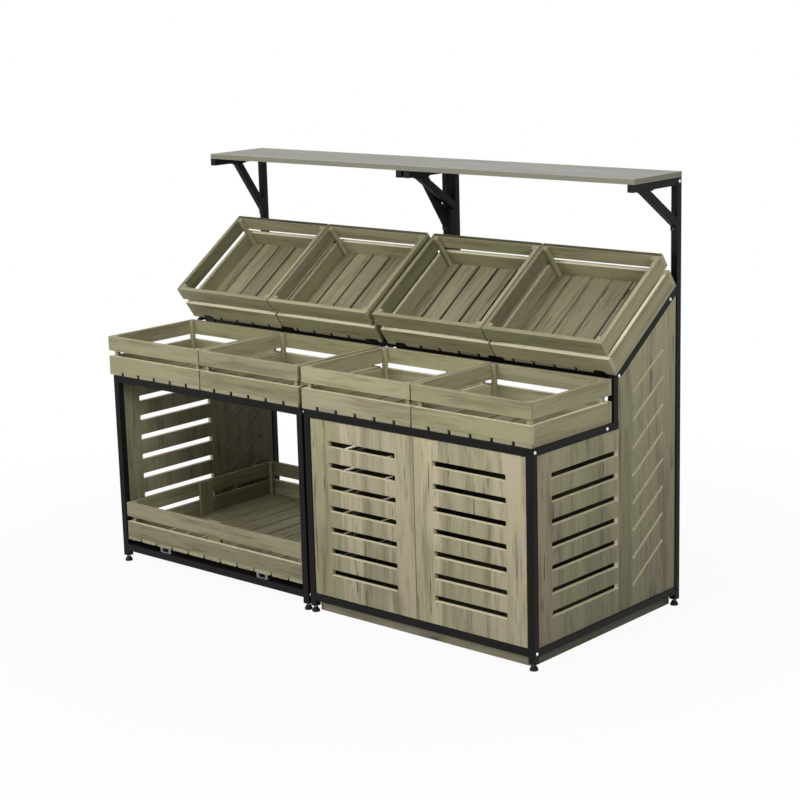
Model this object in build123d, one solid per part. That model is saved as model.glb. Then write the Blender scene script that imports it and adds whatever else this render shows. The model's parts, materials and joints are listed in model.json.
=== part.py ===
from build123d import *
import math
import os

# A produce display shelf: two steel-framed units side by side, in millimetres.
# The left unit is an open bay with a drawer, the right unit a cabinet with two doors.
# It is laid out with X = 0 midway between the units, Y = 0 at the front faces of the
# front posts and Z = 0 at the floor.

# Crates, which set the size of the frame round them
crate_width = 474.0
crate_depth = 414.0
crate_gap = 6.0
crate_front = 6.0

# The crates lie loose: how far each pair stands out over the left edge of its unit
left_front_shift = 23.5
right_front_shift = 11.5
left_tilted_shift = 27.0
right_tilted_shift = 4.0

# Slatted walls and floors of the crates and the drawer
wall_thickness = 15.0
upper_board = 52.0
board_gap = 20.0
lower_board = 56.0
plank_thickness = 12.5
plank_width = 72.0
plank_gap = 12.0
crate_planks = 6
drawer_planks = 11
corner_post = 15.0
batten_width = 64.0
batten_thickness = 12.0

# Steel tube frame
tube = 25.0
tube_wall = 1.5
tube_corner = 2.0
unit_room = 2.0
unit_gap = 10.0
foot_height = 24.0
post_tail = 18.0
seat_top = 702.0
rear_seat_rail_inset = 22.0

# Slope behind the seat, measured along the slope from the front of the step. Its rails stand
# out from the rear posts, and at the right end a step post carries them too
slope_angle = 35.0
step_gap = 2.0
step_rise = 1.5
step_rail_start = 13.0
upper_rail_inset = 63.0
slope_tail = 5.0

# Stops that keep the tilted crates from sliding off
tab_thickness = 3.0
tab_rise = 13.0
tab_root = 16.0
tab_corner = 8.0
end_tab_width = 44.0
end_tab_inset = 37.0
centre_tab_width = 64.0

# Shelf on brackets, with room above the tilted crates
shelf_room = 234.0
shelf_thickness = 18.0
shelf_depth = 270.0
brace_long = 199.0
brace_short = 135.0
plate_thickness = 3.0
plate_overhang = 14.0
plate_screw_edge = 6.0

# Ties that hold the units together: a bolt through a spacer between neighbouring tubes
tie_spacer_radius = 8.0
tie_nut_radius = 5.8
tie_nut = 5.0
tie_seat_place = 200.0

# Bolts, screws, feet and caps
bolt_radius = 3.0
bolt_head_radius = 6.0
bolt_head_top = 4.0
bolt_head = 3.2
bolt_clearance = 0.3
thread_clearance = 0.05
end_block_length = 8.0
screw_radius = 2.0
screw_length = 10.0
screw_clearance = 0.2
screw_head_radius = 4.0
screw_head = 1.8
pad_radius = 13.5
pad_neck_radius = 7.0
pad_height = 16.0
pad_edge = 5.0
stem_radius = 4.0
stem_depth = 10.0
plug_flange = 2.0
plug_clearance = 0.1
bolt_room = 2.0
cap_flange = 2.0

# Side panels, doors and boards of the cabinet
panel_thickness = 15.0
slot_width = 21.0
slot_corner = 4.0
slot_count = 7
slot_bottom_margin = 90.0
slot_top_margin = 79.0
side_slot_front = 75.0
side_slot_rear = 6.0
panel_lap = 9.0
diagonal_angle = 33.5
diagonal_width = 11.0
diagonal_count = 8
diagonal_front = 84.0
diagonal_rear = 70.0
diagonal_bottom = 73.0
diagonal_top = 108.0
base_board = 12.0
plinth_board = 15.0
plinth_lift = 4.0
back_board = 9.0
back_board_inset = 8.0
back_board_drop = 27.0

# Doors on pivot pins
door_thickness = 16.0
door_recess = 2.0
door_gap = 3.0
door_slot_margin = 77.0
pivot_inset = 12.0
pin_radius = 4.0
pin_in_door = 25.0
pin_in_rail = 9.0
pin_running = 0.06
press_clearance = 0.02
bush_wall = 2.0
bush_depth = 8.0
bush_flange_radius = 9.0
seat_clearance = 0.3
strike_width = 36.0
strike_height = 14.0
strike_thickness = 1.5
strike_edge = 4.0
catch_width = 52.0
catch_depth = 14.0
catch_height = 16.0

# Drawer on telescopic slides lying flat on the bottom rails
drawer_side_gap = 3.5
drawer_front = 3.0
drawer_rear_gap = 22.0
slide_offset = 248.0
slide_width = 53.0
slide_height = 20.0
slide_sheet = 2.0
slide_lip = 5.0
slide_clearance = 0.3
channel_height = 18.5
slide_front = 6.0
slide_rear = 9.0
middle_shortfall = 25.0
bearer_width = 80.0
bearer_thickness = 4.0

# Sizes that follow from those above
crate_height = plank_thickness + lower_board + board_gap + upper_board
unit_width = 2 * crate_width + unit_room
tube_bore = tube - 2 * tube_wall
bottom_rail = foot_height + post_tail
bottom_rail_top = bottom_rail + tube
seat_rail = seat_top - tube
step_front = crate_front + crate_depth + step_gap
step_rear = step_front + tube
step_top = seat_top + crate_height + step_rise
slope_length = step_rail_start + crate_depth + slope_tail
rise = math.sin(math.radians(slope_angle))
run = math.cos(math.radians(slope_angle))
rear_post_front = step_front + slope_length * run
depth = rear_post_front + tube
crate_top = step_top + (step_rail_start + seat_clearance + crate_depth) * rise + crate_height * run
shelf_bottom = crate_top + shelf_room
shelf_top = shelf_bottom + shelf_thickness
shelf_front = depth - shelf_depth
arm_bottom = shelf_bottom - tube
panel_recess = (tube - panel_thickness) / 2
panel_joint = step_rear + panel_lap
bush_radius = pin_radius + pin_running + bush_wall
slope_foot = step_front + tube / rise
plug_length = post_tail + tube / 2 - bolt_radius - bolt_room
cap_plug = tube / 2 - cap_flange - bolt_radius - bolt_room

left_unit = -unit_gap / 2 - unit_width
right_unit = unit_gap / 2
units = [left_unit, right_unit]
side_frames = [x for unit in units for x in (unit, unit + unit_width - tube)]
opening_width = unit_width - 2 * tube
cabinet_left = right_unit + tube
cabinet_right = cabinet_left + opening_width

# The part's origin is the floor under the middle of its box
box_left = unit_gap / 2 + unit_width + max(left_front_shift, left_tilted_shift, bolt_head)
box_right = unit_gap / 2 + unit_width + bolt_head
to_origin = Pos((box_left - box_right) / 2, -depth / 2, 0)


def block(low, high):
    """A box between two corners."""
    size = [b - a for a, b in zip(low, high)]
    middle = [(a + b) / 2 for a, b in zip(low, high)]
    return Pos(*middle) * Box(*size)


def tube_along(start, along, length, across=(1, 0, 0)):
    """Square tube from a point on its axis; across is the direction of one side."""
    section = RectangleRounded(tube, tube, tube_corner) - Rectangle(tube_bore, tube_bore)
    return extrude(Plane(origin=start, x_dir=across, z_dir=along) * section, amount=length)


def slope_point(along, above=0.0):
    """Y and Z of a point along the slope's top plane and above it."""
    y = step_front + along * run - above * rise
    z = step_top + along * rise + above * run
    return y, z


def slope_place(x, along):
    """Place on the slope: X across the unit, Y up the slope, Z square to it."""
    y, z = slope_point(along)
    return Plane(origin=(x, y, z), x_dir=(1, 0, 0), z_dir=(0, -rise, run)).location


def save(node, shapes):
    """Write one node, each of its pieces a separate solid."""
    solids = [solid for shape in shapes for solid in shape.solids()]
    moved = [to_origin * solid for solid in solids]
    export_step(Compound(moved), f"parts/{node}.step")


# Cross rails: Y and Z of the axis, and the tilt of the section
tube_middle = tube / 2
step_axis = slope_point(step_rail_start + tube_middle, -tube_middle)
upper_rail_start = step_rail_start + crate_depth - upper_rail_inset
upper_axis = slope_point(upper_rail_start + tube_middle, -tube_middle)
rear_axis = depth - tube_middle
rear_seat_axis = crate_front + crate_depth - rear_seat_rail_inset - tube_middle
seat_axis = seat_top - tube_middle
bottom_axis = bottom_rail + tube_middle
cross_rails = {
    "front_seat_rails": (tube_middle, seat_axis, 0.0),
    "rear_seat_rails": (rear_seat_axis, seat_axis, 0.0),
    "front_bottom_rails": (tube_middle, bottom_axis, 0.0),
    "rear_bottom_rails": (rear_axis, bottom_axis, 0.0),
    "step_rails": (*step_axis, slope_angle),
    "upper_slope_rails": (*upper_axis, slope_angle),
    "top_rear_rails": (rear_axis, shelf_bottom - tube_middle, 0.0),
}


def tilted(angle):
    """Direction of one side of a cross rail's section."""
    return (0, math.cos(math.radians(angle)), math.sin(math.radians(angle)))


def along_x(radius, length):
    """Cylinder lying across the units."""
    return Cylinder(radius, length, rotation=(0, 90, 0))


# Ties: Y and Z of their axes, on a rear post behind the tilted crates and on a seat side rail
tie_places = [(rear_axis, upper_axis[1]), (tie_seat_place, seat_axis)]


def drilled(member, x):
    """A tube of the side frame at x, with the bolt holes that fall on it."""
    hole = along_x(bolt_radius + bolt_clearance, 2 * tube)
    places = [(y, z) for y, z, _ in cross_rails.values()]
    if abs(x + tube_middle) < unit_width / 2:
        places += tie_places
    return member - [Pos(x + tube_middle, y, z) * hole for y, z in places]


def brace_feet(along_arm, down_post):
    """Where a brace's tube stands on its plates: heights on the post, places along the arm."""
    span = math.hypot(along_arm, down_post)
    steepness = down_post / along_arm
    post_low = arm_bottom - down_post + plate_thickness * steepness
    arm_front = rear_post_front - along_arm + plate_thickness / steepness
    post_high = post_low + tube * span / along_arm
    arm_rear = arm_front + tube * span / down_post
    return (post_low, post_high), (arm_front, arm_rear)


def brace_screws(x, along_arm, down_post):
    """Places of the screws through a brace's plates, with Z pointing out of the plate."""
    middle = x + tube_middle
    reach = plate_overhang - plate_screw_edge
    (post_low, post_high), (arm_front, arm_rear) = brace_feet(along_arm, down_post)
    plate_y = rear_post_front - plate_thickness
    plate_z = arm_bottom - plate_thickness
    heights = (post_low - reach, post_high + reach)
    places = (arm_front - reach, arm_rear + reach)
    on_post = [Plane((middle, plate_y, z), z_dir=(0, -1, 0)) for z in heights]
    on_arm = [Plane((middle, y, plate_z), z_dir=(0, 0, -1)) for y in places]
    return [plane.location for plane in on_post + on_arm]


# The same bracket is turned over between the units: long leg down the post on the left
# unit, along the arm on the right one
brace_legs = [(brace_short, brace_long)] * 2 + [(brace_long, brace_short)] * 2
brace_screw_places = [brace_screws(x, *legs) for x, legs in zip(side_frames, brace_legs)]


def screw_holes(radius):
    """Holes for all brace screws."""
    hole = Cylinder(radius, 2 * screw_length)
    return [place * hole for places in brace_screw_places for place in places]


def upright(x, y_front, bottom, top):
    start = (x + tube_middle, y_front + tube_middle, bottom)
    return drilled(tube_along(start, (0, 0, 1), top - bottom), x)


def level_rail(x, y_start, y_end, bottom):
    start = (x + tube_middle, y_start, bottom + tube_middle)
    return drilled(tube_along(start, (0, 1, 0), y_end - y_start), x)


def slope_rail(x):
    """Slanted rail, cut level at the step and upright against the rear post."""
    y, z = slope_point(-tube, -tube_middle)
    long_tube = tube_along((x + tube_middle, y, z), (0, run, rise), slope_length + 2 * tube)
    room = block((x, 0, step_top), (x + tube, rear_post_front, shelf_bottom))
    return drilled(long_tube & room, x)


def brace(x, along_arm, down_post):
    """Bracket tube cut to fit two end plates, under the arm and on the rear post."""
    span = math.hypot(along_arm, down_post)
    back = along_arm / span
    down = down_post / span
    spare = 2 * tube
    y = rear_post_front - along_arm + tube_middle * down - spare * back
    z = arm_bottom + tube_middle * back + spare * down
    long_tube = tube_along((x + tube_middle, y, z), (0, back, -down), span + 2 * spare)
    plate_y = rear_post_front - plate_thickness
    plate_z = arm_bottom - plate_thickness
    tube_piece = long_tube & block((x, 0, 0), (x + tube, plate_y, plate_z))
    (post_low, post_high), (arm_front, arm_rear) = brace_feet(along_arm, down_post)
    arm_plate = block(
        (x, arm_front - plate_overhang, plate_z), (x + tube, arm_rear + plate_overhang, arm_bottom)
    )
    post_plate = block(
        (x, plate_y, post_low - plate_overhang), (x + tube, rear_post_front, post_high + plate_overhang)
    )
    return tube_piece + arm_plate + post_plate - screw_holes(screw_radius + screw_clearance)


def save_side_frames():
    pilot = screw_holes(screw_radius)
    save("front_posts", [upright(x, 0, foot_height, seat_top - cap_flange) for x in side_frames])
    rear = [upright(x, rear_post_front, foot_height, shelf_bottom) - pilot for x in side_frames]
    save("rear_posts", rear)
    save("step_posts", [upright(side_frames[-1], step_front, seat_top, step_top)])
    save("bottom_side_rails", [level_rail(x, tube, rear_post_front, bottom_rail) for x in side_frames])
    save("seat_side_rails", [level_rail(x, tube, step_rear, seat_rail) for x in side_frames])
    arm_start = shelf_front + cap_flange
    arms = [level_rail(x, arm_start, rear_post_front, arm_bottom) - pilot for x in side_frames]
    save("shelf_arms", arms)
    save("slope_rails", [slope_rail(x) for x in side_frames])
    save("shelf_braces", [brace(x, *legs) for x, legs in zip(side_frames, brace_legs)])


def cross_rail(unit, y, z, angle):
    return tube_along((unit + tube, y, z), (1, 0, 0), opening_width, tilted(angle))


def save_cross_rails():
    for node, (y, z, angle) in cross_rails.items():
        rails = [cross_rail(unit, y, z, angle) for unit in units]
        if node in ("front_seat_rails", "front_bottom_rails"):
            rails[1] -= bush_holes()
        save(node, rails)


def stop_tab(x, width):
    """Flat stop with rounded top corners, on the front face of a step rail."""
    outline = Pos(0, (tab_rise - tab_root) / 2) * Rectangle(width, tab_rise + tab_root)
    outline = fillet(outline.vertices().sort_by(Axis.Y)[-2:], tab_corner)
    plate = extrude(Plane.XZ * outline, amount=tab_thickness)
    return slope_place(x, step_rail_start) * plate


def save_stop_tabs():
    tabs = []
    for unit in units:
        end_place = end_tab_inset + end_tab_width / 2
        tabs.append(stop_tab(unit + end_place, end_tab_width))
        tabs.append(stop_tab(unit + unit_width / 2, centre_tab_width))
        tabs.append(stop_tab(unit + unit_width - end_place, end_tab_width))
    save("stop_tabs", tabs)


def end_block():
    """Threaded block in the end of a cross rail, its outer face at Z = 0."""
    side = tube_bore - 2 * plug_clearance
    solid = Pos(0, 0, -end_block_length / 2) * Box(side, side, end_block_length)
    return solid - Cylinder(bolt_radius + thread_clearance, 3 * end_block_length)


def frame_bolt(length):
    """Round-headed bolt with the underside of its head at Z = 0."""
    head = Pos(0, 0, bolt_head / 2) * Cone(bolt_head_radius, bolt_head_top, bolt_head)
    return head + Pos(0, 0, -length / 2) * Cylinder(bolt_radius, length)


def save_frame_hardware():
    bolts = []
    blocks = []
    for unit in units:
        for x, out in ((unit, -1), (unit + unit_width, 1)):
            for y, z, angle in cross_rails.values():
                outer = Plane((x, y, z), x_dir=tilted(angle), z_dir=(out, 0, 0))
                inner = Plane((x - out * tube, y, z), x_dir=tilted(angle), z_dir=(out, 0, 0))
                bolts.append(outer.location * frame_bolt(tube + end_block_length))
                blocks.append(inner.location * end_block())
    save("frame_bolts", bolts)
    save("rail_end_blocks", blocks)
    shank = Pos(0, 0, -screw_length / 2) * Cylinder(screw_radius, screw_length)
    screw = shank + Pos(0, 0, screw_head / 2) * Cylinder(screw_head_radius, screw_head)
    save("brace_screws", [place * screw for places in brace_screw_places for place in places])


def save_unit_ties():
    """Bolt, spacer and nut of each tie; the bolt heads are in the left unit's bay."""
    spacer = along_x(tie_spacer_radius, unit_gap) - along_x(bolt_radius + bolt_clearance, 2 * unit_gap)
    nut_hole = Cylinder(bolt_radius + thread_clearance, 3 * tie_nut)
    nut = extrude(RegularPolygon(tie_nut_radius, 6), tie_nut) - nut_hole
    reach = unit_gap / 2 + tube
    pieces = []
    for y, z in tie_places:
        bolt_face = Plane((-reach, y, z), z_dir=(-1, 0, 0)).location
        nut_face = Plane((reach, y, z), z_dir=(1, 0, 0)).location
        bolt = bolt_face * frame_bolt(2 * reach + tie_nut)
        pieces += [bolt, Pos(0, y, z) * spacer, nut_face * nut]
    save("unit_ties", pieces)


def end_cap(flange, plug):
    """Plastic plug for an open tube end, its outer face at Z = 0 and the tube above."""
    side = tube_bore - 2 * plug_clearance
    rim = Pos(0, 0, flange / 2) * extrude(RectangleRounded(tube, tube, tube_corner), flange / 2, both=True)
    return rim + Pos(0, 0, flange + plug / 2) * Box(side, side, plug)


def foot_pad():
    """Conical pad with a socket for its stem."""
    outline = Polyline(
        (0, 0),
        (pad_radius, 0),
        (pad_radius, pad_edge),
        (pad_neck_radius, pad_height),
        (0, pad_height),
        close=True,
    )
    pad = revolve(Plane.XZ * make_face(outline), Axis.Z)
    socket = Cylinder(stem_radius + press_clearance, stem_depth)
    return pad - Pos(0, 0, pad_height - stem_depth / 2) * socket


def save_feet_and_caps():
    plug_bottom = foot_height - plug_flange
    stem_bottom = pad_height - stem_depth
    stem_top = foot_height + plug_length
    plug = end_cap(plug_flange, plug_length) - Cylinder(stem_radius + thread_clearance, 4 * plug_length)
    stem = Pos(0, 0, (stem_bottom + stem_top) / 2) * Cylinder(stem_radius, stem_top - stem_bottom)
    places = [(x + tube_middle, y) for x in side_frames for y in (tube_middle, rear_axis)]
    save("post_plugs", [Pos(x, y, plug_bottom) * plug for x, y in places])
    save("foot_stems", [Pos(x, y, 0) * stem for x, y in places])
    save("foot_pads", [Pos(x, y, 0) * foot_pad() for x, y in places])
    cap = end_cap(cap_flange, cap_plug)
    caps = []
    for x in side_frames:
        arm_end = Plane((x + tube_middle, shelf_front, arm_bottom + tube_middle), z_dir=(0, 1, 0))
        post_end = Plane((x + tube_middle, tube_middle, seat_top), z_dir=(0, 0, -1))
        caps += [arm_end.location * cap, post_end.location * cap]
    foot_low = step_top - cap_flange
    caps += [block((x, step_front, foot_low), (x + tube, slope_foot, step_top)) for x in side_frames[:-1]]
    save("tube_end_caps", caps)


def save_shelf():
    """Two boards that meet midway between the units."""
    edge = unit_gap / 2 + unit_width
    left = block((-edge, shelf_front, shelf_bottom), (0, depth, shelf_top))
    right = block((0, shelf_front, shelf_bottom), (edge, depth, shelf_top))
    save("shelf_boards", [left, right])


# Heights of the level slots, shared by the side panels and the doors
slot_low = bottom_rail_top + slot_bottom_margin
slot_high = seat_rail - slot_top_margin
slot_heights = [slot_low + k * (slot_high - slot_low) / (slot_count - 1) for k in range(slot_count)]


def level_slots(start, end):
    """Slots with eased corners between two places along a panel."""
    slot = RectangleRounded(end - start, slot_width, slot_corner)
    return [Pos((start + end) / 2, z) * slot for z in slot_heights]


def low_panel(start, end):
    """Panel between the bottom and seat rails, seen from the side: Y across and Z up."""
    height = seat_rail - bottom_rail_top
    return Pos((start + end) / 2, bottom_rail_top + height / 2) * Rectangle(end - start, height)


def front_side_panel():
    slots = level_slots(tube + side_slot_front, panel_joint - side_slot_rear)
    return low_panel(tube, panel_joint) - slots


def under_slope(y):
    """Height of the slope rail's underside."""
    return step_top + (y - slope_foot) * rise / run


def diagonal_slots():
    """Slots of a rear side panel, which rise to the rear."""
    start = step_rear + diagonal_front
    end = rear_post_front - diagonal_rear
    angle = math.radians(diagonal_angle)
    centres = (end - start - diagonal_width) / math.cos(angle)
    slot = Rot(0, 0, diagonal_angle) * SlotOverall(centres + diagonal_width, diagonal_width)
    low = bottom_rail_top + diagonal_bottom
    high = under_slope(start) - diagonal_top
    pitch = (high - low) / (diagonal_count - 1)
    middle = centres / 2 * math.sin(angle)
    return [Pos((start + end) / 2, low + middle + k * pitch) * slot for k in range(diagonal_count)]


def low_rear_panel():
    """Rear panel as high as the front one, with the slots that have room on it."""
    highest = seat_rail - tube
    slots = [slot for slot in diagonal_slots() if slot.bounding_box().max.Y < highest]
    return low_panel(panel_joint, rear_post_front) - slots


def tall_rear_panel():
    """Rear panel of the right end, which goes up to the slope rail."""
    outline = Polyline(
        (panel_joint, bottom_rail_top),
        (rear_post_front, bottom_rail_top),
        (rear_post_front, under_slope(rear_post_front)),
        (slope_foot, step_top),
        (step_rear, step_top),
        (step_rear, seat_rail),
        (panel_joint, seat_rail),
        close=True,
    )
    return make_face(outline) - diagonal_slots()


def save_side_panels():
    front_faces = [front_side_panel()] * len(side_frames)
    rear_faces = [low_rear_panel()] * (len(side_frames) - 1) + [tall_rear_panel()]
    for node, faces in (("front_side_panels", front_faces), ("rear_side_panels", rear_faces)):
        panels = [extrude(Plane.YZ * face, amount=panel_thickness) for face in faces]
        save(node, [Pos(x + panel_recess, 0, 0) * panel for x, panel in zip(side_frames, panels)])


def save_cabinet_boards():
    """Floor between the bottom rails, a plinth on three sides under it, and the back."""
    floor = bottom_rail_top - base_board
    boards = [block((cabinet_left, tube, floor), (cabinet_right, rear_post_front, bottom_rail_top))]
    plinth_rear = tube + plinth_board
    boards.append(block((cabinet_left, tube, plinth_lift), (cabinet_right, plinth_rear, floor)))
    for x in (cabinet_left, cabinet_right - plinth_board):
        low = (x, plinth_rear, plinth_lift)
        boards.append(block(low, (x + plinth_board, rear_post_front, floor)))
    save("base_board", boards)
    back_rear = depth - back_board_inset
    back_low = (cabinet_left, back_rear - back_board, bottom_rail_top)
    save("back_board", [block(back_low, (cabinet_right, back_rear, seat_rail - back_board_drop))])


# Doors: each turns on two pins near its outer edge
door_width = (opening_width - 3 * door_gap) / 2
door_bottom = bottom_rail_top + door_gap
door_top = seat_rail - door_gap
door_rear = door_recess + door_thickness
pivot_y = door_recess + door_thickness / 2
left_door_x = cabinet_left + door_gap
right_door_x = cabinet_right - door_gap - door_width
pivot_xs = [left_door_x + pivot_inset, right_door_x + door_width - pivot_inset]


def bush_holes():
    """Holes for the door bushes in the rails above and below the doors."""
    hole = Cylinder(bush_radius + press_clearance, 2 * bush_depth)
    return [Pos(x, pivot_y, z) * hole for x in pivot_xs for z in (bottom_rail_top, seat_rail)]


def pivot_pins(x):
    """Lower and upper pin of one door."""
    length = pin_in_door + door_gap + pin_in_rail
    low = bottom_rail_top - pin_in_rail + length / 2
    high = seat_rail + pin_in_rail - length / 2
    return [Pos(x, pivot_y, z) * Cylinder(pin_radius, length) for z in (low, high)]


def strike_plate(x, grow=0.0):
    """Steel plate let into the back of a door for the catch, from its lower X edge."""
    top = door_top - strike_edge
    low = (x - grow, door_rear - strike_thickness, top - strike_height - grow)
    return block(low, (x + strike_width + grow, door_rear, top + grow))


def door(x, pivot_x, strike_x):
    panel = block((x, door_recess, door_bottom), (x + door_width, door_rear, door_top))
    slots = level_slots(x + door_slot_margin, x + door_width - door_slot_margin)
    holes = extrude(Plane.XZ * Sketch(slots), amount=-2 * door_rear)
    pin_hole = Cylinder(pin_radius + press_clearance, 2 * pin_in_door)
    pin_holes = [Pos(pivot_x, pivot_y, z) * pin_hole for z in (door_bottom, door_top)]
    return panel - holes - pin_holes - strike_plate(strike_x, press_clearance)


def save_doors():
    strike_xs = [left_door_x + door_width - strike_edge - strike_width, right_door_x + strike_edge]
    doors = zip(("left_door", "right_door"), (left_door_x, right_door_x), pivot_xs, strike_xs)
    for node, x, pivot_x, strike_x in doors:
        save(node, [door(x, pivot_x, strike_x)])
        save(f"{node}_fittings", pivot_pins(pivot_x) + [strike_plate(strike_x)])
    flange = door_gap - seat_clearance
    bush = Pos(0, 0, -bush_depth / 2) * Cylinder(bush_radius, bush_depth)
    bush += Pos(0, 0, flange / 2) * Cylinder(bush_flange_radius, flange)
    bush -= Cylinder(pin_radius + pin_running, 4 * bush_depth)
    lower = [Pos(x, pivot_y, bottom_rail_top) * bush for x in pivot_xs]
    upper = [Pos(x, pivot_y, seat_rail) * Rot(180, 0, 0) * bush for x in pivot_xs]
    save("door_bushes", lower + upper)
    centre = (cabinet_left + cabinet_right) / 2
    catch_front = door_rear + seat_clearance
    catch_low = (centre - catch_width / 2, catch_front, seat_rail - catch_height)
    save("door_catch", [block(catch_low, (centre + catch_width / 2, catch_front + catch_depth, seat_rail))])


def slatted_box(width, length, plank_count):
    """Wall boards, corner posts and floor planks of an open box, its front at Y = 0."""
    half = width / 2
    inner = half - wall_thickness
    rear = length - wall_thickness
    lower_top = plank_thickness + lower_board
    levels = [(plank_thickness, lower_top), (lower_top + board_gap, crate_height)]
    ends = []
    sides = []
    for low, high in levels:
        for y in (0, rear):
            ends.append(block((-half, y, low), (half, y + wall_thickness, high)))
        for x in (-half, inner):
            sides.append(block((x, wall_thickness, low), (x + wall_thickness, rear, high)))
    corners = []
    for x in (-inner, inner - corner_post):
        for y in (wall_thickness, rear - corner_post):
            low = (x, y, plank_thickness)
            corners.append(block(low, (x + corner_post, y + corner_post, crate_height)))
    inside = plank_count - 2
    edge = (width - inside * plank_width - (plank_count - 1) * plank_gap) / 2
    planks = []
    x = -half
    for plank in [edge] + [plank_width] * inside + [edge]:
        planks.append(block((x, 0, 0), (x + plank, length, plank_thickness)))
        x += plank + plank_gap
    return ends, sides, corners, planks


def crate_places(left_shift, right_shift):
    """X of the middles of a row's crates, from left to right."""
    first = crate_width / 2
    second = first + crate_width + crate_gap
    left = left_unit - left_shift
    right = right_unit - right_shift
    return [left + first, left + second, right + first, right + second]


def save_crates():
    ends, sides, corners, planks = slatted_box(crate_width, crate_depth, crate_planks)
    flat = [Pos(x, crate_front, seat_top) for x in crate_places(left_front_shift, right_front_shift)]
    tilted_xs = crate_places(left_tilted_shift, right_tilted_shift)
    tilt = [slope_place(x, step_rail_start + seat_clearance) for x in tilted_xs]
    for row, places in (("front", flat), ("tilted", tilt)):
        for number, place in enumerate(places, 1):
            walls = [place * board for board in ends + sides + corners]
            save(f"{row}_crate_{number}_walls", walls)
            save(f"{row}_crate_{number}_floor", [place * plank for plank in planks])


def drawer_battens(width, length):
    """Upright battens in the middle of each drawer wall."""
    inner = width / 2 - wall_thickness
    half = batten_width / 2
    battens = []
    for y in (wall_thickness, length - wall_thickness - batten_thickness):
        low = (-half, y, plank_thickness)
        battens.append(block(low, (half, y + batten_thickness, crate_height)))
    for x in (-inner, inner - batten_thickness):
        low = (x, length / 2 - half, plank_thickness)
        battens.append(block(low, (x + batten_thickness, length / 2 + half, crate_height)))
    return battens


drawer_centre = left_unit + unit_width / 2
slide_xs = [drawer_centre - slide_offset, drawer_centre + slide_offset]


def save_drawer():
    width = opening_width - 2 * drawer_side_gap
    length = rear_post_front - drawer_front - drawer_rear_gap
    ends, sides, corners, planks = slatted_box(width, length, drawer_planks)
    place = Pos(drawer_centre, drawer_front, bottom_rail_top + slide_height)
    save("drawer_end_boards", [place * board for board in ends])
    save("drawer_side_boards", [place * board for board in sides])
    save("drawer_battens", [place * piece for piece in corners + drawer_battens(width, length)])
    save("drawer_planks", [place * plank for plank in planks])


def strip(left, low, right, high):
    """Rectangle in a slide's section."""
    return Pos((left + right) / 2, (low + high) / 2) * Rectangle(right - left, high - low)


def slide_channel(half, low, high):
    """Lipped channel section, open upwards."""
    section = strip(-half, low, half, low + slide_sheet)
    for side in (-1, 1):
        wall = sorted((side * half, side * (half - slide_sheet)))
        lip = sorted((side * half, side * (half - slide_sheet - slide_lip)))
        section += strip(wall[0], low, wall[1], high)
        section += strip(lip[0], high - slide_sheet, lip[1], high)
    return section


def slide_runner(half, low, high, neck):
    """Hat section whose turned-up flanges run inside the middle member."""
    section = strip(-neck, slide_height - slide_sheet, neck, slide_height)
    for side in (-1, 1):
        wall = sorted((side * neck, side * (neck - slide_sheet)))
        flange = sorted((side * (neck - slide_sheet), side * half))
        fin = sorted((side * half, side * (half - slide_sheet)))
        section += strip(wall[0], low, wall[1], slide_height)
        section += strip(flange[0], low, flange[1], low + slide_sheet)
        section += strip(fin[0], low, fin[1], high)
    return section


def slide_member(section, x, rear):
    """A slide's section drawn from its front end to its rear end."""
    profile = Plane(origin=(x, slide_front, bottom_rail_top), x_dir=(1, 0, 0), z_dir=(0, -1, 0)) * section
    return extrude(profile, amount=slide_front - rear)


def save_slides():
    step = slide_sheet + slide_clearance
    half = slide_width / 2
    channel = slide_channel(half, 0, channel_height)
    middle = slide_channel(half - step, step, channel_height - step)
    neck = half - step - slide_sheet - slide_lip - slide_clearance
    runner = slide_runner(half - 2 * step, 2 * step, channel_height - 2 * step, neck)
    channel_rear = depth - slide_rear
    middle_rear = channel_rear - middle_shortfall
    runner_rear = rear_post_front - drawer_rear_gap
    save("slide_channels", [slide_member(channel, x, channel_rear) for x in slide_xs])
    for node, x in zip(("left_slide_middle", "right_slide_middle"), slide_xs):
        save(node, [slide_member(middle, x, middle_rear)])
    save("slide_runners", [slide_member(runner, x, runner_rear) for x in slide_xs])


def save_slide_bearers():
    """Flat plates behind the front bottom rail and before the rear one, under the slides."""
    left = left_unit + tube
    low = bottom_rail_top - bearer_thickness
    places = (tube, rear_post_front - bearer_width)
    plates = [
        block((left, y, low), (left + opening_width, y + bearer_width, bottom_rail_top)) for y in places
    ]
    save("slide_bearers", plates)


os.makedirs("parts", exist_ok=True)
save_side_frames()
save_cross_rails()
save_stop_tabs()
save_frame_hardware()
save_unit_ties()
save_feet_and_caps()
save_shelf()
save_side_panels()
save_cabinet_boards()
save_doors()
save_crates()
save_drawer()
save_slides()
save_slide_bearers()
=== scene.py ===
import json
import math
import random

import bmesh
import bpy
from mathutils import Matrix, Vector


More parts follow.
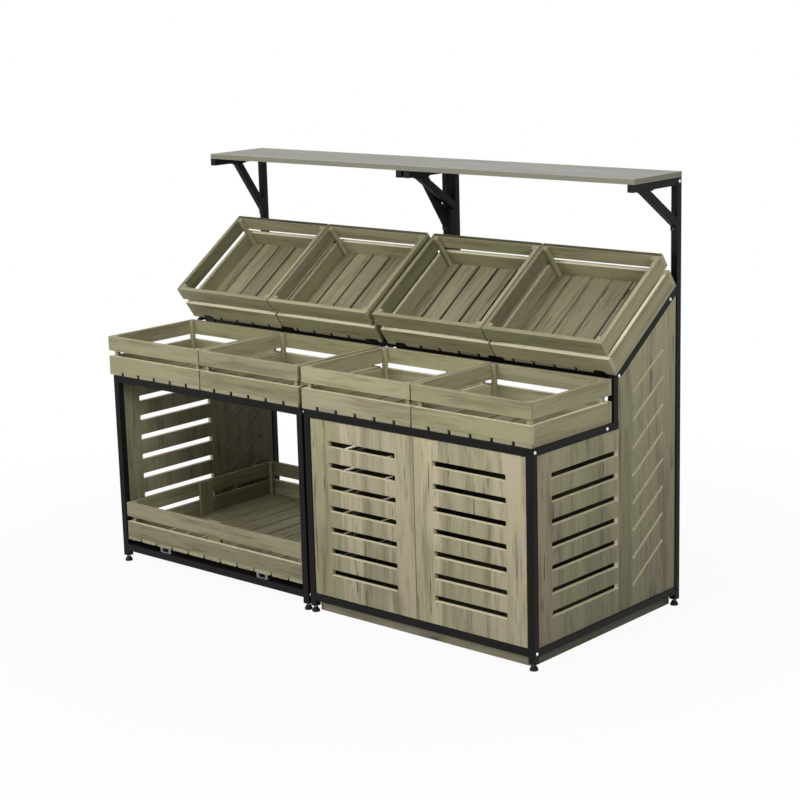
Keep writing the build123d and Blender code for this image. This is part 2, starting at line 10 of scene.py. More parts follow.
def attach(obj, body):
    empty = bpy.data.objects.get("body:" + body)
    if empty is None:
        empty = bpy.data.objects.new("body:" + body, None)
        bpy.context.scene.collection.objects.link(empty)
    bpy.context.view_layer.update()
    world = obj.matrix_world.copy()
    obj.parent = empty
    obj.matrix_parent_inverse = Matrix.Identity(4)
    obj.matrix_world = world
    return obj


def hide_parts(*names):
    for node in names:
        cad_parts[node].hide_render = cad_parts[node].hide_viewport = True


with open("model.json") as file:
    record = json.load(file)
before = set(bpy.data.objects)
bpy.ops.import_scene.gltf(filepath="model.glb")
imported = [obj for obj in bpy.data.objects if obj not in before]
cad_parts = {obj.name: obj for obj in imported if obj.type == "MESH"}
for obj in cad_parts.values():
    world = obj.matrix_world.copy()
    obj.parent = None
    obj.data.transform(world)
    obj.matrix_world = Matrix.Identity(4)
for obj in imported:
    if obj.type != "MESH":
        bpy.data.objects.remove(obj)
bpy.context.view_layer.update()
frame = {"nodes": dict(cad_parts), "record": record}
nodes = frame["nodes"]
record = frame["record"]
print("frame loaded:", len(nodes), "nodes")


# shader maths
class Wire:
    # a socket that takes part in sums
    def __init__(self, finish, socket):
        self.finish = finish
        self.socket = socket

    def maths(self, operation, first, second):
        return self.finish.add("ShaderNodeMath", {"operation": operation}, {0: first, 1: second})

    def __add__(self, other):
        return self.maths("ADD", self, other)

    def __radd__(self, other):
        return self.maths("ADD", other, self)

    def __sub__(self, other):
        return self.maths("SUBTRACT", self, other)

    def __rsub__(self, other):
        return self.maths("SUBTRACT", other, self)

    def __mul__(self, other):
        return self.maths("MULTIPLY", self, other)

    def __rmul__(self, other):
        return self.maths("MULTIPLY", other, self)

    def __gt__(self, other):
        return self.maths("GREATER_THAN", self, other)


class Finish:
    # a node tree and the one way of adding to it
    def __init__(self, tree):
        self.tree = tree

    def add(self, kind, settings, inputs, output=0):
        node = self.tree.nodes.new(kind)
        for name, value in settings.items():
            setattr(node, name, value)
        self.fill(node, inputs)
        return Wire(self, node.outputs[output])

    def fill(self, node, inputs):
        for name, value in inputs.items():
            if isinstance(value, Wire):
                self.tree.links.new(value.socket, node.inputs[name])
            else:
                node.inputs[name].default_value = value

    def objectPlace(self):
        return self.add("ShaderNodeTexCoord", {}, {}, "Object")

    def attribute(self, name, output):
        return self.add("ShaderNodeAttribute", {"attribute_name": name}, {}, output)

    def lightPath(self, output):
        return self.add("ShaderNodeLightPath", {}, {}, output)

    def axis(self, place, output):
        return self.add("ShaderNodeSeparateXYZ", {}, {"Vector": place}, output)

    def channel(self, colour, output):
        return self.add("ShaderNodeSeparateColor", {}, {"Color": colour}, output)

    def stretched(self, place, scale):
        return self.add("ShaderNodeMapping", {}, {"Vector": place, "Scale": scale})

    def noise(self, place, scale, detail, roughness=0.5):
        return self.add("ShaderNodeTexNoise", {}, {
            "Vector": place, "Scale": scale, "Detail": detail, "Roughness": roughness})

    def band(self, value, low, high):
        # 0 below low, 1 above high, soft between
        return self.add("ShaderNodeMapRange", {"interpolation_type": "SMOOTHSTEP"}, {
            "Value": value, "From Min": low, "From Max": high})

    def mix(self, factor, first, second):
        return self.add("ShaderNodeMix", {"data_type": "RGBA"}, {0: factor, 6: first, 7: second}, 2)

    def shade(self, colour, amount):
        return self.add(
            "ShaderNodeVectorMath", {"operation": "SCALE"}, {0: colour, "Scale": amount})

    def relief(self, height, strength, depth):
        return self.add("ShaderNodeBump", {}, {
            "Strength": strength, "Distance": depth, "Height": height})


def newMaterial(name):
    material = bpy.data.materials.new(name)
    material.use_nodes = True
    return material, Finish(material.node_tree), material.node_tree.nodes["Principled BSDF"]


def rgb(red, green, blue):
    return (red, green, blue, 1.0)


# wood-grain laminate: read from the piece's own grain map, in metres
crateLook = {
    "pale": rgb(0.415, 0.375, 0.240),
    "green": rgb(0.350, 0.338, 0.192),
    "deep": rgb(0.255, 0.230, 0.128),
    "brown": rgb(0.170, 0.132, 0.070),
    "knot": rgb(0.090, 0.062, 0.032),
    "cut": rgb(0.930, 0.865, 0.620),
    "staves": 12.0,       # per metre across the grain
    "staveTone": 0.10,    # how much lighter one is than another
    "streaks": 0.45,
    "splits": 24.0,       # lines along which it may crack, per metre
    "cracks": 0.30,
    "smudges": 0.30,
    "knots": 0.84,        # share of places without one
    "rise": 0.0,          # painted shade: how much lighter it is a metre up
}
panelLook = {
    "pale": rgb(0.455, 0.402, 0.272),
    "green": rgb(0.355, 0.340, 0.205),
    "deep": rgb(0.245, 0.214, 0.132),
    "brown": rgb(0.120, 0.090, 0.050),
    "knot": rgb(0.055, 0.040, 0.022),
    "cut": rgb(0.900, 0.830, 0.590),
    "staves": 9.0,
    "staveTone": 0.22,
    "streaks": 0.46,
    "splits": 22.0,
    "cracks": 0.80,
    "smudges": 0.55,
    "knots": 0.72,
    # painted shade: panels are made lighter towards the top and darker towards the bottom
    "rise": 0.45,
}
shelfLook = {
    "pale": rgb(0.440, 0.434, 0.395),
    "green": rgb(0.405, 0.400, 0.354),
    "deep": rgb(0.340, 0.328, 0.280),
    "brown": rgb(0.230, 0.205, 0.160),
    "knot": rgb(0.150, 0.122, 0.088),
    "cut": rgb(0.226, 0.222, 0.160),
    "staves": 9.0,
    "staveTone": 0.10,
    "streaks": 0.30,
    "splits": 16.0,
    "cracks": 0.15,
    "smudges": 0.18,
    "knots": 0.92,
    "rise": 0.0,
}
grainForm = {
    "noise": {            # scale along the grain and across it, detail, roughness
        "wander": (2.4, 11.0, 2.0, 0.50),
        "cloud": (2.2, 8.0, 2.0, 0.50),
        "broad": (2.4, 24.0, 3.0, 0.50),
        "streak": (6.5, 95.0, 4.0, 0.65),
        "fibre": (26.0, 620.0, 2.0, 0.50),
        "smudge": (6.5, 42.0, 2.0, 0.50),
        "stretch": (7.0, 30.0, 2.0, 0.50),
        "patch": (2.6, 6.5, 1.0, 0.50),
    },
    "band": {             # the value where each begins, and where it is full
        "tint": (0.25, 0.75),
        "broad": (0.46, 0.74),
        "line": (0.46, 0.74),
        "smudge": (0.58, 0.76),
        "stretch": (0.53, 0.64),
        "patch": (0.40, 0.60),
        "crack": (0.02, 0.10),
        "knot": (0.015, 0.075),
        "halo": (0.05, 0.30),
    },
    "share": {            # how far each one counts
        "wander": 0.022,  # metres
        "hue": 0.20,
        "staveHue": 0.70,
        "broad": 0.65,
        "broadLine": 0.50,
        "halo": 0.35,
        "knot": 0.85,
        "tone": 0.60,
        "fibre": 0.28,
        "wornTint": 0.35,
        "wornLine": 0.30,
        "wornSmudge": 0.35,
        "wornCrack": 0.50,
    },
    "height": {           # of the relief
        "fibre": 0.50,
        "streak": 0.50,
        "knot": 0.40,
    },
    "relief": (0.35, 0.0004),         # strength, and depth in metres
    "middle": 0.5,                    # mean of a noise or a lot
    "staveBlend": 0.35,
    "knotCells": (2.6, 9.0, 1.0),     # per metre along the grain and across it
    "lightness": 0.58,                # of a board whose tone is 0
    "riseFrom": 0.55,                 # height at which the painted shade by height changes nothing
    "roughness": 0.50,
    "streakRoughness": 0.16,
    "specular": 0.25,
}


def boardFinish(name, look):
    material, finish, surface = newMaterial(name)
    share, middle = grainForm["share"], grainForm["middle"]

    def pattern(kind, place):
        along, across, detail, roughness = grainForm["noise"][kind]
        return finish.noise(finish.stretched(place, (along, across, 1.0)), 1.0, detail, roughness)

    def banded(kind, value):
        return finish.band(value, *grainForm["band"][kind])

    grain = finish.add("ShaderNodeUVMap", {"uv_map": "grain"}, {})
    board = finish.attribute("board", "Color")
    tone, cut, hue = (finish.channel(board, output) for output in ("Red", "Green", "Blue"))
    wear = finish.attribute("board", "Alpha")
    height = finish.axis(finish.objectPlace(), "Z")

    # the fibres wander a few millimetres along the board
    wander = (pattern("wander", grain) - middle) * share["wander"]
    drift = finish.add("ShaderNodeCombineXYZ", {}, {"Y": wander})
    bent = finish.add("ShaderNodeVectorMath", {"operation": "ADD"}, {0: grain, 1: drift})
    width = finish.axis(bent, "Y")
    cloud = pattern("cloud", grain)
    broad = pattern("broad", bent)
    streak = pattern("streak", bent)
    fibre = pattern("fibre", bent)
    line = banded("line", streak + (broad - middle) * share["broadLine"])

    # staves of uneven width, each with its own tone and tint
    lot = finish.add(
        "ShaderNodeTexVoronoi", {"voronoi_dimensions": "1D", "feature": "SMOOTH_F1"},
        {"W": width * look["staves"], "Scale": 1.0, "Smoothness": grainForm["staveBlend"]}, "Color")
    staveTone = finish.channel(lot, "Red") - middle
    staveHue = finish.channel(lot, "Green") - middle
    tint = cloud + (hue - middle) * share["hue"] + staveHue * share["staveHue"]

    # dark smudges and cracks, in patches and in short stretches along the grain
    patch = banded("patch", pattern("patch", grain))
    smudge = patch * banded("smudge", pattern("smudge", bent))
    stretch = banded("stretch", pattern("stretch", grain))
    split = finish.add(
        "ShaderNodeTexVoronoi", {"voronoi_dimensions": "1D", "feature": "DISTANCE_TO_EDGE"},
        {"W": width * look["splits"], "Scale": 1.0}, "Distance")
    crack = patch * stretch * (1.0 - banded("crack", split))

    # knots sit in some cells of a long lattice
    cells = {"Vector": finish.stretched(bent, grainForm["knotCells"]), "Scale": 1.0}
    distance = finish.add("ShaderNodeTexVoronoi", {}, cells, "Distance")
    cell = finish.add("ShaderNodeTexVoronoi", {}, cells, "Color")
    chosen = finish.channel(cell, "Red") > look["knots"]
    knot = chosen * (1.0 - banded("knot", distance))
    halo = chosen * (1.0 - banded("halo", distance))

    colour = look["pale"]
    for amount, layer in (
        (banded("tint", tint - wear * share["wornTint"]), "green"),
        (banded("broad", broad) * share["broad"], "deep"),
        (line * (wear * share["wornLine"] + look["streaks"]) + halo * share["halo"], "brown"),
        (smudge * (wear * share["wornSmudge"] + look["smudges"]), "brown"),
        (crack * (wear * share["wornCrack"] + look["cracks"]), "knot"),
        (knot * share["knot"], "knot"),
    ):
        colour = finish.mix(amount, colour, look[layer])
    # painted shade: the boards lighten with their height; the tone also carries painted shade from
    # the board tables
    staveToneAndPaintedShade = staveTone * look["staveTone"] + (height - grainForm["riseFrom"]) * look["rise"]
    light = grainForm["lightness"] + tone * share["tone"] + staveToneAndPaintedShade + (fibre - middle) * share["fibre"]
    level = grainForm["height"]
    raised = fibre * level["fibre"] + streak * level["streak"] - knot * level["knot"] - crack
    finish.fill(surface, {
        "Base Color": finish.mix(cut, finish.shade(colour, light), look["cut"]),
        "Roughness": grainForm["roughness"] + streak * grainForm["streakRoughness"],
        "Specular IOR Level": grainForm["specular"],
        "Normal": finish.relief(raised, *grainForm["relief"]),
    })
    return material


# metal and plastic finishes: noise is read from object coordinates, by scale and detail
tubeLook = {
    "black": rgb(0.0034, 0.0031, 0.0028),
    "worn": rgb(0.0062, 0.0056, 0.0050),
    "cloud": (7.0, 3.0),
    "wear": (0.35, 0.70),         # the cloud's value where it begins, and where it is full
    "peel": (620.0, 2.0),
    "relief": (0.30, 0.00015),    # strength, and depth in metres
    "roughness": 0.44,
    "cloudRoughness": 0.14,
    "specular": 0.12,
}


def tubeFinish(name, look):
    material, finish, surface = newMaterial(name)
    place = finish.objectPlace()
    cloud = finish.noise(place, *look["cloud"])
    peel = finish.noise(place, *look["peel"])
    finish.fill(surface, {
        "Base Color": finish.mix(finish.band(cloud, *look["wear"]), look["black"], look["worn"]),
        "Roughness": look["roughness"] + cloud * look["cloudRoughness"],
        "Specular IOR Level": look["specular"],
        "Normal": finish.relief(peel, *look["relief"]),
    })
    return material


plasticLook = {
    "black": rgb(0.0040, 0.0040, 0.0040),
    "grey": rgb(0.0080, 0.0080, 0.0080),
    "cloud": (40.0, 2.0),
    "grain": (1500.0, 1.0),
    "relief": (0.25, 0.0001),
    "roughness": 0.50,
    "grainRoughness": 0.15,
    "specular": 0.15,
}


def plasticFinish(name, look):
    material, finish, surface = newMaterial(name)
    place = finish.objectPlace()
    speck = finish.noise(place, *look["grain"])
    cloud = finish.noise(place, *look["cloud"])
    finish.fill(surface, {
        "Base Color": finish.mix(cloud, look["black"], look["grey"]),
        "Roughness": look["roughness"] + speck * look["grainRoughness"],
        "Specular IOR Level": look["specular"],
        "Normal": finish.relief(speck, *look["relief"]),
    })
    return material


boltLook = {
    "bright": rgb(0.72, 0.72, 0.71),
    "dull": rgb(0.50, 0.50, 0.49),
    "roughness": 0.26,
    "drawn": (900, 900, 900),     # scratches per metre
}
slideLook = {
    "bright": rgb(0.34, 0.34, 0.34),
    "dull": rgb(0.20, 0.20, 0.20),
    "roughness": 0.34,
    "drawn": (1800, 30, 1800),
}
screwLook = {
    "bright": rgb(0.060, 0.060, 0.064),
    "dull": rgb(0.030, 0.030, 0.032),
    "roughness": 0.38,
    "drawn": (700, 700, 700),
}
zincForm = {
    "spangle": (160.0, 2.0),
    "scratch": (1.0, 2.0),
    "scratchRoughness": 0.16,
    "relief": (0.2, 0.0001),
    "paint": rgb(0.012, 0.012, 0.012),    # shown by faces whose paint attribute is 1
}


def zincFinish(name, look):
    material, finish, surface = newMaterial(name)
    place = finish.objectPlace()
    scratch = finish.noise(finish.stretched(place, look["drawn"]), *zincForm["scratch"])
    spangle = finish.noise(place, *zincForm["spangle"])
    bare = finish.mix(spangle, look["bright"], look["dull"])
    finish.fill(surface, {
        "Base Color": finish.mix(finish.attribute("paint", "Fac"), bare, zincForm["paint"]),
        "Metallic": 1.0,
        "Roughness": look["roughness"] + scratch * zincForm["scratchRoughness"],
        "Normal": finish.relief(scratch, *zincForm["relief"]),
    })
    return material


finishes = {
    "black_tube": tubeFinish("blackPowderCoat", tubeLook),
    "black_plastic": plasticFinish("blackPlastic", plasticLook),
    "bright_bolt": zincFinish("zincBolt", boltLook),
    "slide_steel": zincFinish("zincSheet", slideLook),
    "dark_screw": zincFinish("blackOxide", screwLook),
    "crate_board": boardFinish("crateLaminate", crateLook),
    "panel_board": boardFinish("panelLaminate", panelLook),
    "shelf_board": boardFinish("shelfLaminate", shelfLook),
}
slotOf = {part["node"]: part["material_slot"] for part in record["subparts"]}
bodyOf = {node: body for body, group in record["behaviour"]["bodies"].items() for node in group}
for name, piece in nodes.items():
    for place in piece.material_slots:
        place.material = finishes[slotOf[name]]
print("finishes:", ", ".join(finishes))


# pieces that stand in for CAD nodes
mergeWithin = 0.00001     # metres between points that are one


def meshOf(sheet, name):
    mesh = bpy.data.meshes.new(name)
    sheet.to_mesh(mesh)
    sheet.free()
    return mesh


def addPiece(name, mesh, node):
    piece = bpy.data.objects.new(name, mesh)
    bpy.context.collection.objects.link(piece)
    mesh.materials.append(finishes[slotOf[node]])
    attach(piece, bodyOf[node])
    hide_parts(node)


def solidsOf(mesh, turn):
    # a node's triangles come solid by solid, and a solid ends where all its edges have met
    groups, group, unmet = [], set(), set()
    for face in mesh.polygons:
        corners = [tuple(mesh.vertices[index].co) for index in face.vertices]
        for edge in zip(corners, corners[1:] + corners[:1]):
            unmet ^= {tuple(sorted(edge))}
        group.add(face.index)
        if not unmet:
            groups.append(group)
            group = set()
    whole = bmesh.new()
    whole.from_mesh(mesh)
    bmesh.ops.transform(whole, matrix=turn, verts=whole.verts)
    solids = []
    for group in groups:
        solid = whole.copy()
        others = [face for face in solid.faces if face.index not in group]
        bmesh.ops.delete(solid, geom=others, context="FACES")
        bmesh.ops.remove_doubles(solid, verts=solid.verts, dist=mergeWithin)
        solids.append(solid)
    whole.free()
    return solids


def boxOf(sheet):
    low = Vector([min(vert.co[axis] for vert in sheet.verts) for axis in range(3)])
    high = Vector([max(vert.co[axis] for vert in sheet.verts) for axis in range(3)])
    return low, high


# boards; a cut is the share of the cut colour that a face shows, or, below 0, how much painted
# shade darkens it
boardForm = {
    "arris": 0.0011,      # rounding of a board's edges
    "plankArris": 0.0003,
    "arrisSegments": 2,
    "flat": 0.995,        # a face whose normal lies less along its main axis is rounding
    "sharp": 50.0,        # an edge of a slotted board is rounded past this angle, in degrees
    "coplanar": 0.5,      # and its faces are made one within this
    "upper": 0.03,        # how near a crate's top, or its rear, its last boards are
    "tone": 0.60,         # usual mean tone
    "toneSpread": 0.14,
    "grainSpread": 40.0,  # metres of grain from which a board is taken
    "slotCut": 0.90,      # usual cut of a slot
    "arrisCut": 0.10,     # that of the rounding
    "ledgeCut": 0.95,     # the top of a lower wall board
    "topCut": 0.05,       # the top of an upper one
    "rearPaintedShade": -1.10,     # the top of a tilted crate's rear one, darkened as painted shade under the shelf
    "endCut": 0.10,       # the end of a wall board
    "plainCut": 0.05,     # any other edge
    "seed": 11,
}
boardToneAndShade = {             # mean tone of a node's boards, or of each in turn, with painted shade in some
    # painted shade: the entries below 0 darken the cabinet's inner panels, back board, floor and
    # plinths, and the low drawer tones darken the drawer in the bay
    "front_side_panels": (0.42, 0.45, -0.30, 0.38),
    "rear_side_panels": (0.30, 0.45, -0.30, 0.34),
    "base_board": (-0.30, 0.62, -0.20, -0.30),
    "back_board": -0.30,
    "left_door": 0.80,
    "right_door": 0.75,
    "front_crate_3_walls": 0.72,
    "drawer_end_boards": (0.00, 0.15, 0.22, 0.15),
    "drawer_side_boards": 0.42,
    "drawer_battens": 0.42,
    "drawer_planks": 0.34,
}
slotCut = {               # cut of their slots, of each in turn; below 0 is painted shade, and the small shares on panels in shade hold back the cream as painted shade
    "front_side_panels": (0.75, 0.75, 0.20, 0.85),
    "rear_side_panels": (-0.65, 0.20, 0.20, 0.70),
}
edgeCut = {               # cut of the long edges and of the ends of level boards
    "shelf_boards": (0.95, 0.95),
    # painted light and shade: the drawer planks' long edges are made pale where shade falls on
    # them, and tilted crate 3's gap edges dark
    "drawer_planks": (0.80, 0.05),
    "tilted_crate_3_floor": (-0.60, 0.05),
    "tilted_crate_4_floor": (0.12, 0.05),
}
boardWear = {             # how brown and cracked they are
    "drawer_end_boards": 0.6,
    "drawer_planks": 0.6,
}
for number in range(1, 5):
    front = 0.37 if number == 3 else 0.50
    ends = (front, 0.50, front, 0.50)    # lower front and rear, upper front and rear
    # painted shade: the left wall boards face into the crate and are darker, the upper one most
    sides = (0.35, 0.62, -0.05, 0.62)    # lower left and right, upper left and right
    posts = (0.55,) * 4
    boardToneAndShade[f"tilted_crate_{number}_walls"] = ends + sides + posts
    boardToneAndShade[f"tilted_crate_{number}_floor"] = 0.20
    # painted shade: the front crates' floors are darkened inside the crates
    boardToneAndShade[f"front_crate_{number}_floor"] = 0.10
    edgeCut[f"front_crate_{number}_floor"] = (0.05, 0.20)
    boardWear[f"tilted_crate_{number}_floor"] = 1.0


def ofBoard(table, node, index, usual):
    value = table.get(node, usual)
    return value[index] if isinstance(value, tuple) else value


def roundEdges(sheet, edges, width):
    bmesh.ops.bevel(
        sheet, geom=edges, offset=width, offset_type="OFFSET",
        segments=boardForm["arrisSegments"], profile=0.5,
        affect="EDGES", material=-1, clamp_overlap=True)


def plainBoard(low, high, arris):
    sheet = bmesh.new()
    bmesh.ops.create_cube(sheet, size=1.0)
    bmesh.ops.scale(sheet, vec=high - low, verts=sheet.verts)
    bmesh.ops.translate(sheet, vec=(low + high) / 2, verts=sheet.verts)
    roundEdges(sheet, sheet.edges[:], arris)
    return sheet


def slottedBoard(solid, arris):
    # the CAD panel with its flat faces whole again and its outer and slot edges eased
    bmesh.ops.dissolve_limit(
        solid, angle_limit=math.radians(boardForm["coplanar"]),
        verts=solid.verts, edges=solid.edges, use_dissolve_boundaries=False)
    least = math.radians(boardForm["sharp"])
    sharp = [
        edge for edge in solid.edges
        if len(edge.link_faces) == 2 and edge.is_convex and edge.calc_face_angle() > least]
    roundEdges(solid, sharp, arris)
    return solid


def cutOf(normal, facing, order, cuts):
    thin, across, along = order
    if facing == thin:
        return 0.0
    if cuts["slots"] is not None:    # a slotted board; facing X is a door's upright edge
        return boardForm["plainCut"] if facing == 0 else cuts["slots"]
    if thin == 2:                    # a level board
        return cuts["edges"][0 if facing == across else 1]
    if along == 2:                   # a post
        return boardForm["plainCut"]
    if facing == along:
        return boardForm["endCut"]
    if normal.z > 0:
        return cuts["top"]
    return boardForm["plainCut"]


def paintBoard(sheet, size, dice, mean, wear, cuts):
    # grain map along the longest side, and the board's tone with painted shade, cut faces, hue and
    # wear
    order = sorted(range(3), key=lambda axis: size[axis])
    thin, across, along = order
    mapped = {thin: (along, across), across: (along, thin), along: (across, thin)}
    grain = sheet.loops.layers.uv.new("grain")
    board = sheet.loops.layers.float_color.new("board")
    far, spread = boardForm["grainSpread"], boardForm["toneSpread"]
    shift = Vector((dice.uniform(0, far), dice.uniform(0, far)))
    tone, hue = mean + dice.uniform(-spread, spread), dice.random()
    for face in sheet.faces:
        face.normal_update()
        facing = max(range(3), key=lambda axis: abs(face.normal[axis]))
        cut = cutOf(face.normal, facing, order, cuts)
        if abs(face.normal[facing]) < boardForm["flat"] and cuts["slots"] is None:
            cut = boardForm["arrisCut"]
        first, second = mapped[facing]
        for loop in face.loops:
            place = loop.vert.co
            loop[grain].uv = Vector((place[first], place[second])) + shift
            # a cut below 0 is painted shade, taken off the tone
            loop[board] = (tone + min(cut, 0.0), max(cut, 0.0), hue, wear)


def addBoards(node, tilted, slotted):
    dice = random.Random(f"{node} {boardForm['seed']}")
    turn = slope if tilted else level
    whole = bmesh.new()
    whole.loops.layers.uv.new("grain")
    whole.loops.layers.float_color.new("board")
    solids = [(solid, *boxOf(solid)) for solid in solidsOf(nodes[node].data, turn)]
    crest = max(high.z for solid, low, high in solids) - boardForm["upper"]
    rear = max(high.y for solid, low, high in solids) - boardForm["upper"]
    arris = boardForm["plankArris" if node.endswith(("_floor", "_planks")) else "arris"]
    plain = (boardForm["plainCut"],) * 2
    for index, (solid, low, high) in enumerate(solids):
        top = "topCut"
        if high.z < crest:
            top = "ledgeCut"
        elif tilted and low.y > rear:
            top = "rearPaintedShade"
        cuts = {
            "top": boardForm[top],
            "slots": ofBoard(slotCut, node, index, boardForm["slotCut"]) if slotted else None,
            "edges": edgeCut.get(node, plain),
        }
        mean = ofBoard(boardToneAndShade, node, index, boardForm["tone"])
        sheet = slottedBoard(solid, arris) if slotted else plainBoard(low, high, arris)
        paintBoard(sheet, high - low, dice, mean, boardWear.get(node, 0.0), cuts)
        part = meshOf(sheet, "part")
        whole.from_mesh(part)
        bpy.data.meshes.remove(part)
    bmesh.ops.transform(whole, matrix=turn.inverted(), verts=whole.verts)
    addPiece(node + "_boards", meshOf(whole, node + "_boards"), node)


axisOf = {joint["name"]: joint["axis"] for joint in record["behaviour"]["joints"]}
lift = axisOf["tilted_crate_1_lift"]
level = Matrix.Identity(4)
slope = Matrix.Rotation(math.atan2(lift[1], lift[2]), 4, "X")
boardSlots = ("crate_board", "panel_board", "shelf_board")
slottedNodes = ("front_side_panels", "rear_side_panels", "left_door", "right_door")
boardNodes = [name for name in nodes if slotOf[name] in boardSlots]
for name in boardNodes:
    addBoards(name, name.startswith("tilted"), name in slottedNodes)
print("boards:", len(boardNodes), "pieces")


# frame bolts: button heads with a hexagon socket
boltForm = {
    "dome": [             # radius and height, from the socket's rim to the underside
        (0.0027, 0.0032), (0.0040, 0.0029), (0.0051, 0.0021),
        (0.0058, 0.0010), (0.0060, 0.0003), (0.0058, 0.0)],
    "socket": 0.0021,
    "socketDepth": 0.0018,
    "steps": 24,
    "mergeWithin": 0.000001,
    "endWithin": 0.0001,  # how near its end a point of the CAD bolt is taken for the end
    "sharp": 38.0,        # degrees past which an edge isn't shaded smooth
    "paintedBelow": 0.2,  # rear bolts under this height are painted with the frame
}


def boltMesh(shank, length):
    # along +X, the head's underside at X = 0
    sheet = bmesh.new()
    line = boltForm["dome"] + [(shank, 0.0), (shank, -length), (0.0, -length)]
    verts = [sheet.verts.new((height, radius, 0.0)) for radius, height in line]
    edges = [sheet.edges.new(pair) for pair in zip(verts, verts[1:])]
    bmesh.ops.spin(
        sheet, geom=verts + edges, cent=(0, 0, 0), axis=(1, 0, 0), dvec=(0, 0, 0),
        angle=2 * math.pi, steps=boltForm["steps"], use_merge=True, use_duplicate=False)
    bmesh.ops.remove_doubles(sheet, verts=sheet.verts, dist=boltForm["mergeWithin"])
    rim = [edge for edge in sheet.edges if edge.is_boundary]
    top = boltForm["dome"][0][1]
    place = Matrix.Translation((top, 0, 0)) @ Matrix.Rotation(math.pi / 2, 4, "Y")
    ring = bmesh.ops.create_circle(
        sheet, cap_ends=False, segments=6, radius=boltForm["socket"], matrix=place)["verts"]
    hexagon = list({edge for vert in ring for edge in vert.link_edges})
    bmesh.ops.bridge_loops(sheet, edges=rim + hexagon)
    sunk = bmesh.ops.extrude_edge_only(sheet, edges=hexagon)["geom"]
    sunkVerts = [item for item in sunk if isinstance(item, bmesh.types.BMVert)]
    sunkEdges = [item for item in sunk if isinstance(item, bmesh.types.BMEdge)]
    bmesh.ops.translate(sheet, vec=(-boltForm["socketDepth"], 0, 0), verts=sunkVerts)
    bmesh.ops.contextual_create(sheet, geom=sunkEdges)
    bmesh.ops.recalc_face_normals(sheet, faces=sheet.faces)
    return meshOf(sheet, "bolt")


def addFrameBolts(node):
    whole = bmesh.new()
    paint = whole.loops.layers.float_color.new("paint")
    head = boltForm["dome"][0][1]
    pattern = None
    for solid in solidsOf(nodes[node].data, level):
        low, high = boxOf(solid)
        middle = (low + high) / 2
        reach = {}        # radius at each end; the head is the wider one
        for end, x in ((-1, low.x), (1, high.x)):
            reach[end] = max(
                abs(vert.co.z - middle.z) for vert in solid.verts
                if abs(vert.co.x - x) < boltForm["endWithin"])
        solid.free()
        out = max(reach, key=reach.get)
        if pattern is None:
            pattern = boltMesh(reach[-out], high.x - low.x - head)
        vertCount, faceCount = len(whole.verts), len(whole.faces)
        whole.from_mesh(pattern)
        whole.verts.ensure_lookup_table()
        whole.faces.ensure_lookup_table()
        painted = float(middle.y > 0 and middle.z < boltForm["paintedBelow"])
        for face in whole.faces[faceCount:]:
            for loop in face.loops:
                loop[paint] = (painted, painted, painted, 1.0)
        under = (high.x if out > 0 else low.x) - out * head
        turn = Matrix.Rotation(0.0 if out > 0 else math.pi, 4, "Z")
        place = Matrix.Translation((under, middle.y, middle.z)) @ turn
        bmesh.ops.transform(whole, matrix=place, verts=whole.verts[vertCount:])
    bpy.data.meshes.remove(pattern)
    for face in whole.faces:
        face.smooth = True
    mesh = meshOf(whole, "button_head_bolts")
    mesh.set_sharp_from_angle(angle=math.radians(boltForm["sharp"]))
    addPiece("button_head_bolts", mesh, node)


addFrameBolts("frame_bolts")
print("bolts: button heads placed")


# studio: white surround, pale floor and three soft lamps
studio = {
    "white": rgb(1.0, 1.0, 1.0),
    "surround": 0.10,     # strength of its light; the camera and reflections see 1
    "floorSize": 14.0,
    "floor": rgb(0.50, 0.50, 0.50),
    "floorRoughness": 0.9,
    "floorShare": 0.95,   # of plain white in what the camera sees of the floor near the object
    "floorFade": (1.0, 2.6),    # metres away where it begins to rise, and where it is 1
    "lamps": [
        {"name": "key", "place": (-1.4, -4.2, 2.6), "aim": (0.0, 0.0, 0.7),
         "size": 2.6, "power": 120.0},
        {"name": "fill", "place": (4.2, -1.8, 2.4), "aim": (0.9, 0.0, 0.6),
         "size": 1.6, "power": 88.0},
        {"name": "top", "place": (-0.2, -1.2, 4.2), "aim": (0.0, 0.0, 0.7),
         "size": 2.6, "power": 50.0},
    ],
}


def addSurround():
    world = bpy.data.worlds.new("surround")
    bpy.context.scene.world = world
    world.use_nodes = True
    finish = Finish(world.node_tree)
    mirrored = finish.lightPath("Is Glossy Ray") + finish.lightPath("Is Transmission Ray")
    seen = finish.add("ShaderNodeMath", {"operation": "MAXIMUM"}, {
        0: finish.lightPath("Is Camera Ray"), 1: mirrored})
    finish.fill(world.node_tree.nodes["Background"], {
        "Color": studio["white"],
        "Strength": studio["surround"] + seen * (1.0 - studio["surround"]),
    })


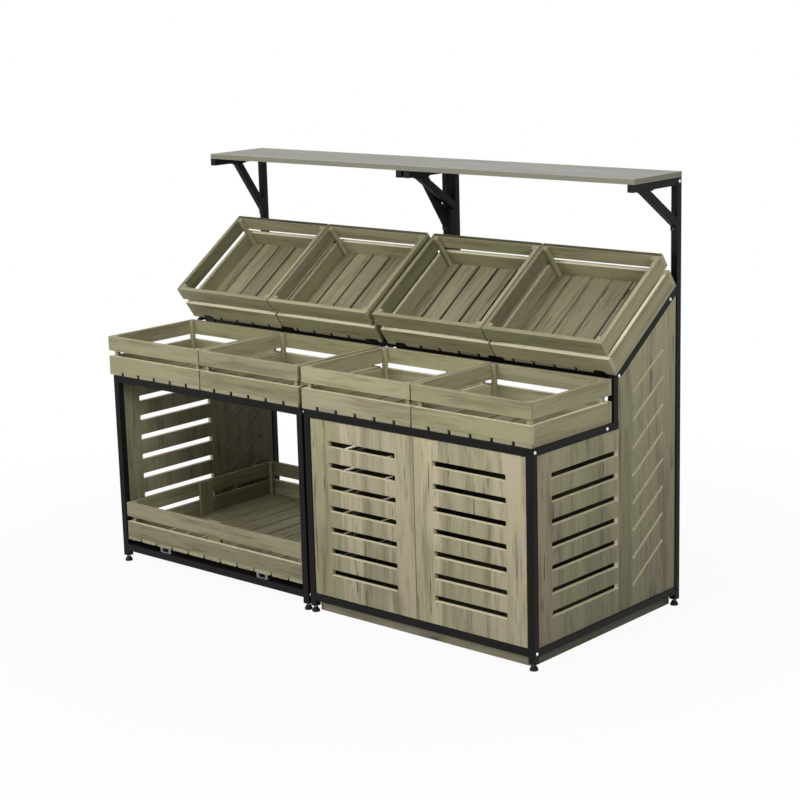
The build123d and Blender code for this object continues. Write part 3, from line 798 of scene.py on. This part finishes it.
def addFloor():
    sheet = bmesh.new()
    bmesh.ops.create_grid(sheet, x_segments=2, y_segments=2, size=studio["floorSize"] / 2)
    mesh = meshOf(sheet, "floor")
    floor = bpy.data.objects.new("floor", mesh)
    bpy.context.collection.objects.link(floor)
    material, finish, surface = newMaterial("paleFloor")
    place = finish.objectPlace()
    away = finish.add("ShaderNodeVectorMath", {"operation": "LENGTH"}, {0: place}, "Value")
    seen = finish.lightPath("Is Camera Ray") + finish.lightPath("Is Glossy Ray")
    near = studio["floorShare"]
    share = seen * (near + finish.band(away, *studio["floorFade"]) * (1.0 - near))
    finish.fill(surface, {
        "Base Color": studio["floor"],
        "Roughness": studio["floorRoughness"],
        "Specular IOR Level": 0.0,
    })
    lit = Wire(finish, surface.outputs[0])
    white = finish.add("ShaderNodeEmission", {}, {"Color": studio["white"], "Strength": 1.0})
    both = finish.add("ShaderNodeMixShader", {}, {0: share, 1: lit, 2: white})
    finish.fill(material.node_tree.nodes["Material Output"], {"Surface": both})
    mesh.materials.append(material)


def addLamp(look):
    lamp = bpy.data.lights.new(look["name"], "AREA")
    lamp.shape = "SQUARE"
    lamp.size = look["size"]
    lamp.energy = look["power"]
    light = bpy.data.objects.new(look["name"], lamp)
    bpy.context.collection.objects.link(light)
    light.location = look["place"]
    aim = Vector(look["aim"]) - Vector(look["place"])
    light.rotation_euler = aim.to_track_quat("-Z", "Y").to_euler()


addSurround()
addFloor()
for look in studio["lamps"]:
    addLamp(look)
bpy.context.scene.view_settings.view_transform = "Standard"
print("studio: surround, floor and", len(studio["lamps"]), "lamps")

# camera, seen from the front right
view = {
    "azimuth": 41.608,    # degrees
    "elevation": 12.620,
    "roll": -1.539,
    "place": (4.3273, -4.7718, 2.0961),
    "lens": 85.644,       # millimetres
    "sensor": 36.0,
}


def addCamera():
    azimuth, elevation, roll = (
        math.radians(view[name]) for name in ("azimuth", "elevation", "roll"))
    forward = Vector((
        -math.sin(azimuth) * math.cos(elevation),
        math.cos(azimuth) * math.cos(elevation),
        -math.sin(elevation)))
    right = forward.cross(Vector((0, 0, 1))).normalized()
    up = right.cross(forward)
    across = math.cos(roll) * right + math.sin(roll) * up
    upward = math.cos(roll) * up - math.sin(roll) * right
    lens = bpy.data.cameras.new("camera")
    lens.lens = view["lens"]
    lens.sensor_width = view["sensor"]
    camera = bpy.data.objects.new("camera", lens)
    bpy.context.collection.objects.link(camera)
    turn = Matrix((across, upward, -forward)).transposed().to_4x4()
    camera.matrix_world = Matrix.Translation(view["place"]) @ turn
    bpy.context.scene.camera = camera


addCamera()
